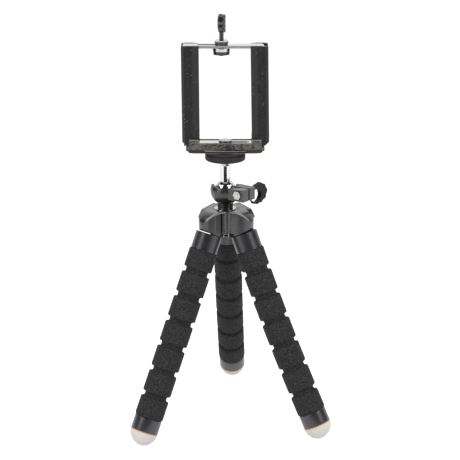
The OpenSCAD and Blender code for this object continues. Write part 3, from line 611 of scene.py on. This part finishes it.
# The arch ridges take the ridge material, whose lighter colour is a painted highlight
def makeArch(name, legA, legB, highest):
    t = hubTrim
    outward, across, distance = sideOf(legA, legB)
    points = []
    for i in range(t["archSteps"] + 1):
        side = t["archHalfSpan"] * (2 * i / t["archSteps"] - 1)
        height = browTop + (sqrt(t["browRadius"] ** 2 - side ** 2) - t["browRadius"] - t["archRadius"]) * mm
        points.append(hubCentre + (outward * distance + across * side) * mm + Vector((0, 0, min(height, highest))))
    keepPiece(name, tube(points, t["archRadius"] * mm), "hub", "ridge")


makeArch("hubFrontArch", "left", "right", browTop)
makeArch("hubRightArch", "right", "rear", plateau - hubTrim["archInset"] * mm)
makeArch("hubLeftArch", "rear", "left", plateau - hubTrim["archInset"] * mm)


def makePaintedGrooveShades():
    # Two upright near-black strips on the front wall, a little proud of it: painted shade standing in for the shade
    # of two parting grooves
    t = hubTrim
    outward, across, distance = sideOf("left", "right")
    turn = Matrix((across, outward, Vector((0, 0, 1)))).transposed().to_4x4()
    size = Matrix.Diagonal((t["grooveShadeWide"], t["grooveShadeDeep"], t["grooveShadeTall"], 1))
    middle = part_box("hub_body")[0].z / mm + t["grooveShadeLow"] + t["grooveShadeTall"] / 2
    for number, side in enumerate(t["grooveShadeAt"]):
        at = outward * (distance + t["grooveShadeProud"] - t["grooveShadeDeep"] / 2) + across * side + Vector((0, 0, middle))
        place = Matrix.Translation(hubCentre + at * mm) @ Matrix.Scale(mm, 4) @ turn @ size
        bm = bmesh.new()
        bmesh.ops.create_cube(bm, size=1)
        bmesh.ops.transform(bm, matrix=place, verts=bm.verts)
        bmesh.ops.recalc_face_normals(bm, faces=bm.faces)
        keepPiece(f"hubPaintedGrooveShade{number + 1}", bm, "hub", "groove")


makePaintedGrooveShades()


def makeNeckWasher():
    t = hubTrim
    inner, outer, thick = t["washerInner"], t["washerOuter"], t["washerThickness"]
    bm = spun([(inner, 0), (outer, 0), (outer, thick), (inner, thick), (inner, 0)])
    place = Matrix.Translation(hubCentre + Vector((0, 0, plateau))) @ Matrix.Scale(mm, 4)
    keepPiece("neckWasher", bm, "hub", "chrome", place=place)


makeNeckWasher()
print("hub trim made")

# Lock knob: a loop with a thin wall and lobes round its far side, on a short collar

knobSizes = {
    "start": 6.8, "loopStart": 6.9, "length": 19.4, "height": 14.2, "drop": 3.4, "holeFrom": 8.5, "holeTo": 19.4,
    "holeHeight": 8.8, "holeDrop": 1.0, "nearFront": 0.3, "nearBack": -1.0, "farFront": 0.9, "farBack": -3.1,
    "lobeAngles": (68, 38, 4, -30, -64, -98, -130), "lobeRise": 0.9, "lobeRoom": 0.54, "lobeWidth": 11.0,
    "lobeFall": 2.7, "points": 144, "edge": 0.3, "collarRadius": 3.4, "collarLength": 1.4, "collarEdge": 0.4,
}


def loopRing(halfLong, halfHigh, lobes=False):
    # Points of an oval about its own centre, as (along the screw, up)
    k = knobSizes
    ring = []
    for i in range(k["points"]):
        angle = 360 * i / k["points"]
        across, up = cos(radians(angle)), sin(radians(angle))
        radius = 1 / sqrt((across / halfLong) ** 2 + (up / halfHigh) ** 2)
        if lobes:
            for lobe in k["lobeAngles"]:
                away = (angle - lobe + 180) % 360 - 180
                radius += k["lobeRise"] * k["lobeFall"] ** (-(away / k["lobeWidth"]) ** 2)
        ring.append((radius * across, radius * up))
    return ring


def makeKnob():
    k = knobSizes
    along = Vector(joints["lock_turn"]["axis"]).normalized()
    toward = along.cross(Vector((0, 0, 1)))
    centre = Vector(joints["lock_turn"]["pos_m"])
    turn = Matrix((along, -toward, Vector((0, 0, 1)))).transposed().to_4x4()
    place = Matrix.Translation(centre) @ turn @ Matrix.Scale(mm, 4)
    bm = bmesh.new()
    outside = loopRing(k["length"] / 2 - k["lobeRise"], k["height"] / 2 - k["lobeRoom"], True)
    hole = loopRing((k["holeTo"] - k["holeFrom"]) / 2, k["holeHeight"] / 2)
    holeMiddle = (k["holeFrom"] + k["holeTo"]) / 2
    loops = []
    for ring, middle, down in ((outside, k["loopStart"] + k["length"] / 2, k["drop"]),
                               (hole, holeMiddle, k["drop"] + k["holeDrop"])):
        for near, far in ((k["nearFront"], k["farFront"]), (k["nearBack"], k["farBack"])):
            points = []
            for a, b in ring:
                share = (middle + a - k["loopStart"]) / k["length"]  # the loop is thicker at its far end
                points.append((middle + a, -near - (far - near) * share, b - down))
            loops.append(closedLoop(bm, points))
    outerFront, outerBack, innerFront, innerBack = loops
    for wall in (outerFront + outerBack, innerFront + innerBack):
        bmesh.ops.bridge_loops(bm, edges=wall)
    for face in (outerFront + innerFront, outerBack + innerBack):
        bmesh.ops.triangle_fill(bm, use_beauty=True, edges=face)
    bmesh.ops.recalc_face_normals(bm, faces=bm.faces)
    loop = keepPiece("lockLoop", bm, "lock_lever", "knob", ["lock_knob"], place=place)
    softenEdges(loop, k["edge"], 3, angle=40)
    collar = rounded([(0, 0), (k["collarRadius"], 0), (k["collarRadius"], k["collarLength"]), (0, k["collarLength"])],
                     [0, k["collarEdge"], k["collarEdge"], 0], 3)
    spin = place @ Matrix.Translation((k["start"], 0, 0)) @ Matrix.Rotation(radians(90), 4, "Y")
    keepPiece("lockCollar", spun(collar, segments=40), "lock_lever", "gloss", place=spin)


makeKnob()
print("lock knob made")

# Thumb screw: an oval grip seen edge-on, with lobes down one side, over the screw's rod

gripSizes = {
    "left": -2.6, "right": 1.5, "halfWide": 6.2, "height": 12.4, "roundness": 3.0, "endShare": 0.02,
    "scallops": 8, "scallopDepth": 0.05, "rows": 24, "columns": 96, "shadeBandEnds": (0.13, 0.38, 0.5, 0.68, 0.84),
    "lobes": 4, "lobeRadius": 1.15, "lobeEdge": 0.7, "lobeOut": 1.65, "lobeSpread": 0.94, "lobeReach": 0.9,
    "lobeLeast": 0.1, "rodRadius": 1.45, "rodBelow": 0.8, "nutWide": 7.9, "nutDeep": 9.6, "nutThick": 0.9,
    "nutEdge": 0.2,
}


def makeGrip():
    g = gripSizes
    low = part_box("thumb_screw")[0].z
    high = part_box("thumb_screw")[1].z
    centre = middleOf("jam_nut")
    middle = Vector((centre.x, centre.y, high - g["height"] / 2 * mm))
    place = Matrix.Translation(middle) @ Matrix.Scale(mm, 4)
    bm = bmesh.new()
    loops = []
    for i in range(g["rows"] + 1):
        t = -cos(pi * i / g["rows"])
        shrink = max(1 - abs(t) ** g["roundness"], g["endShare"]) ** (1 / g["roundness"])
        across = (g["left"] + g["right"]) / 2 + t * (g["right"] - g["left"]) / 2
        points = []
        for c in range(g["columns"]):
            angle = 2 * pi * c / g["columns"]
            radius = shrink * (1 + g["scallopDepth"] * (cos(g["scallops"] * angle) - 1) / 2)
            points.append((across, radius * g["halfWide"] * cos(angle), radius * g["height"] / 2 * sin(angle)))
        loops.append(closedLoop(bm, points))
    for one, two in zip(loops, loops[1:]):
        bmesh.ops.bridge_loops(bm, edges=one + two)
    for end in (loops[0], loops[-1]):
        bmesh.ops.contextual_create(bm, geom=end)
    bmesh.ops.recalc_face_normals(bm, faces=bm.faces)
    grip = keepPiece("thumbGrip", bm, "clamp_screw", "grip", ["thumb_screw"], smooth=50, place=place)
    # painted shade: bands of the darker knob material across the grip stand in for the shade of ribs on its edge
    grip.data.materials.append(materials["knob"])
    for face in grip.data.polygons:
        share = (high - face.center.z) / (g["height"] * mm)
        face.material_index = sum(share > end for end in g["shadeBandEnds"]) % 2
    for i in range(g["lobes"]):
        up = g["height"] * ((i + 0.5) / g["lobes"] - 0.5) * g["lobeSpread"]
        half = g["halfWide"] * sqrt(max(1 - (2 * up / g["height"]) ** 2, g["lobeLeast"])) * g["lobeReach"]
        bar = rounded([(0, -half), (g["lobeRadius"], -half), (g["lobeRadius"], half), (0, half)],
                      [0, g["lobeEdge"], g["lobeEdge"], 0], 4)
        turn = Matrix.Translation((g["lobeOut"], 0, up)) @ Matrix.Rotation(radians(90), 4, "X")
        keepPiece(f"thumbLobe{i + 1}", spun(bar, segments=24), "clamp_screw", "grip",
                  place=place @ turn)
    nut = bmesh.new()
    bmesh.ops.create_cube(nut, size=1)
    nutPlace = Vector((centre.x, centre.y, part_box("jam_nut")[0].z + g["nutThick"] / 2 * mm))
    nutSize = Matrix.Diagonal((g["nutWide"], g["nutDeep"], g["nutThick"], 1))
    bevelled = keepPiece("jamNut", nut, "clamp_screw", "chrome", ["jam_nut"],
                         place=Matrix.Translation(nutPlace) @ Matrix.Scale(mm, 4) @ nutSize)
    softenEdges(bevelled, g["nutEdge"], 2)
    rodTop = (high - low) / mm - g["height"] * g["rodBelow"]
    rod = spun([(0, 0), (g["rodRadius"], 0), (g["rodRadius"], rodTop), (0, rodTop)], segments=32)
    keepPiece("thumbRod", rod, "clamp_screw", "gloss",
              place=Matrix.Translation((centre.x, centre.y, low)) @ Matrix.Scale(mm, 4))


makeGrip()
print("thumb screw made")

# Floor, light and camera

studio = {
    "floorSide": 8.0, "floorColour": (0.8, 0.8, 0.8, 1), "floorGlow": 0.58, "floorRough": 0.9, "floorSpecular": 0.1,
    "skyLight": 0.52, "skyDark": 0.03, "darkFrom": 0.2, "darkTo": 0.65, "lampAim": (0, 0, 0.15),
    "cardHalfWidth": 0.24, "cardLow": 0.035, "cardHigh": 0.1, "cardDistance": 0.36, "cardShade": 0.015,
}
lamps = {
    "leftLamp": {"at": (-0.95, -0.75, 0.62), "power": 3.6, "wide": 0.5, "tall": 0.9},
    "rightLamp": {"at": (0.95, -0.75, 0.62), "power": 3.6, "wide": 0.5, "tall": 0.9},
    "leftTopLamp": {"at": (-0.82, -0.25, 1.15), "power": 4.4, "wide": 1.1, "tall": 0.6},
    "rightTopLamp": {"at": (0.82, -0.25, 1.15), "power": 4.4, "wide": 1.1, "tall": 0.6},
}


def seenRays(tree, kinds=("Camera", "Glossy", "Transmission")):
    # 1 for the rays that show the backdrop: straight, in a reflection or through glass
    path = addNode(tree, "ShaderNodeLightPath")
    total = path.outputs[f"Is {kinds[0]} Ray"]
    for kind in kinds[1:]:
        both = addNode(tree, "ShaderNodeMath", {"operation": "ADD", "use_clamp": True})
        tree.links.new(total, both.inputs[0])
        tree.links.new(path.outputs[f"Is {kind} Ray"], both.inputs[1])
        total = both.outputs[0]
    return total


def makeFloor():
    bpy.ops.mesh.primitive_plane_add(size=studio["floorSide"])
    floor = bpy.context.active_object
    floor.name = "floor"
    material = bpy.data.materials.new("palePaper")
    material.use_nodes = True
    tree = material.node_tree
    shader = tree.nodes["Principled BSDF"]
    shader.inputs["Base Color"].default_value = studio["floorColour"]
    shader.inputs["Roughness"].default_value = studio["floorRough"]
    shader.inputs["Specular IOR Level"].default_value = studio["floorSpecular"]
    shader.inputs["Emission Color"].default_value = (1, 1, 1, 1)
    glow = addNode(tree, "ShaderNodeMath", {"operation": "MULTIPLY"})
    glow.inputs[1].default_value = studio["floorGlow"]
    tree.links.new(seenRays(tree), glow.inputs[0])
    tree.links.new(glow.outputs[0], shader.inputs["Emission Strength"])
    floor.data.materials.append(material)


def makeSky():
    # Plain light all round; in reflections the side behind the camera is darker, as in a real studio
    world = bpy.data.worlds.new("studioSky")
    bpy.context.scene.world = world
    world.use_nodes = True
    tree = world.node_tree
    ground = tree.nodes["Background"]
    ground.inputs["Color"].default_value = (1, 1, 1, 1)
    place = addNode(tree, "ShaderNodeTexCoord")
    split = addNode(tree, "ShaderNodeSeparateXYZ")
    front = addNode(tree, "ShaderNodeMapRange", {"interpolation_type": "SMOOTHSTEP"})
    front.inputs["From Min"].default_value = studio["darkFrom"]
    front.inputs["From Max"].default_value = studio["darkTo"]
    front.inputs["To Min"].default_value = studio["skyDark"]
    front.inputs["To Max"].default_value = 1.0
    plain = addNode(tree, "ShaderNodeMix", {"data_type": "FLOAT"})
    plain.inputs["A"].default_value = studio["skyLight"]
    plain.inputs["B"].default_value = 1.0
    strength = addNode(tree, "ShaderNodeMix", {"data_type": "FLOAT"})
    link = tree.links.new
    link(place.outputs["Generated"], split.inputs["Vector"])
    link(split.outputs["Y"], front.inputs["Value"])
    link(front.outputs["Result"], strength.inputs["B"])
    link(seenRays(tree, ("Camera", "Transmission")), plain.inputs["Factor"])
    link(plain.outputs["Result"], strength.inputs["A"])
    link(seenRays(tree, ("Glossy",)), strength.inputs["Factor"])
    link(strength.outputs["Result"], ground.inputs["Strength"])


def makeCard():
    # A dark card in front, below the camera's view, that only shows in bright metal and gloss
    s = studio
    bm = bmesh.new()
    corners = [(-s["cardHalfWidth"], s["cardLow"]), (s["cardHalfWidth"], s["cardLow"]),
               (s["cardHalfWidth"], s["cardHigh"]), (-s["cardHalfWidth"], s["cardHigh"])]
    bm.faces.new([bm.verts.new((hubCentre.x + x, hubCentre.y - s["cardDistance"], z)) for x, z in corners])
    mesh = bpy.data.meshes.new("darkCard")
    bm.to_mesh(mesh)
    bm.free()
    material = bpy.data.materials.new("darkCard")
    material.use_nodes = True
    shader = material.node_tree.nodes["Principled BSDF"]
    shader.inputs["Base Color"].default_value = (s["cardShade"], s["cardShade"], s["cardShade"], 1)
    shader.inputs["Roughness"].default_value = 1
    shader.inputs["Specular IOR Level"].default_value = 0
    mesh.materials.append(material)
    card = bpy.data.objects.new("darkCard", mesh)
    bpy.context.scene.collection.objects.link(card)
    card.visible_camera = False
    card.visible_diffuse = False
    card.visible_shadow = False
    card.visible_transmission = False


def makeLamp(name, at, power, wide, tall):
    lamp = bpy.data.lights.new(name, "AREA")
    lamp.energy = power
    lamp.shape = "RECTANGLE"
    lamp.size = wide
    lamp.size_y = tall
    holder = bpy.data.objects.new(name, lamp)
    bpy.context.scene.collection.objects.link(holder)
    holder.location = at
    aim = Vector(studio["lampAim"]) - Vector(at)
    holder.rotation_euler = aim.to_track_quat("-Z", "Y").to_euler()


cameraSizes = {"distance": 0.9085, "height": 0.408, "pitchDown": 16.755, "yawRight": 0.2, "focalPixels": 1398,
               "framePixels": 460, "sensor": 36}


def makeCamera():
    c = cameraSizes
    data = bpy.data.cameras.new("photoCamera")
    data.sensor_width = c["sensor"]
    data.lens = c["focalPixels"] / c["framePixels"] * c["sensor"]
    camera = bpy.data.objects.new("photoCamera", data)
    bpy.context.scene.collection.objects.link(camera)
    camera.location = (hubCentre.x, hubCentre.y - c["distance"], c["height"])
    camera.rotation_euler = (radians(90 - c["pitchDown"]), 0, radians(-c["yawRight"]))
    bpy.context.scene.camera = camera


makeFloor()
makeSky()
makeCard()
for lampName, lampSizes in lamps.items():
    makeLamp(lampName, **lampSizes)
makeCamera()
bpy.context.scene.view_settings.view_transform = "Standard"
print("studio made")
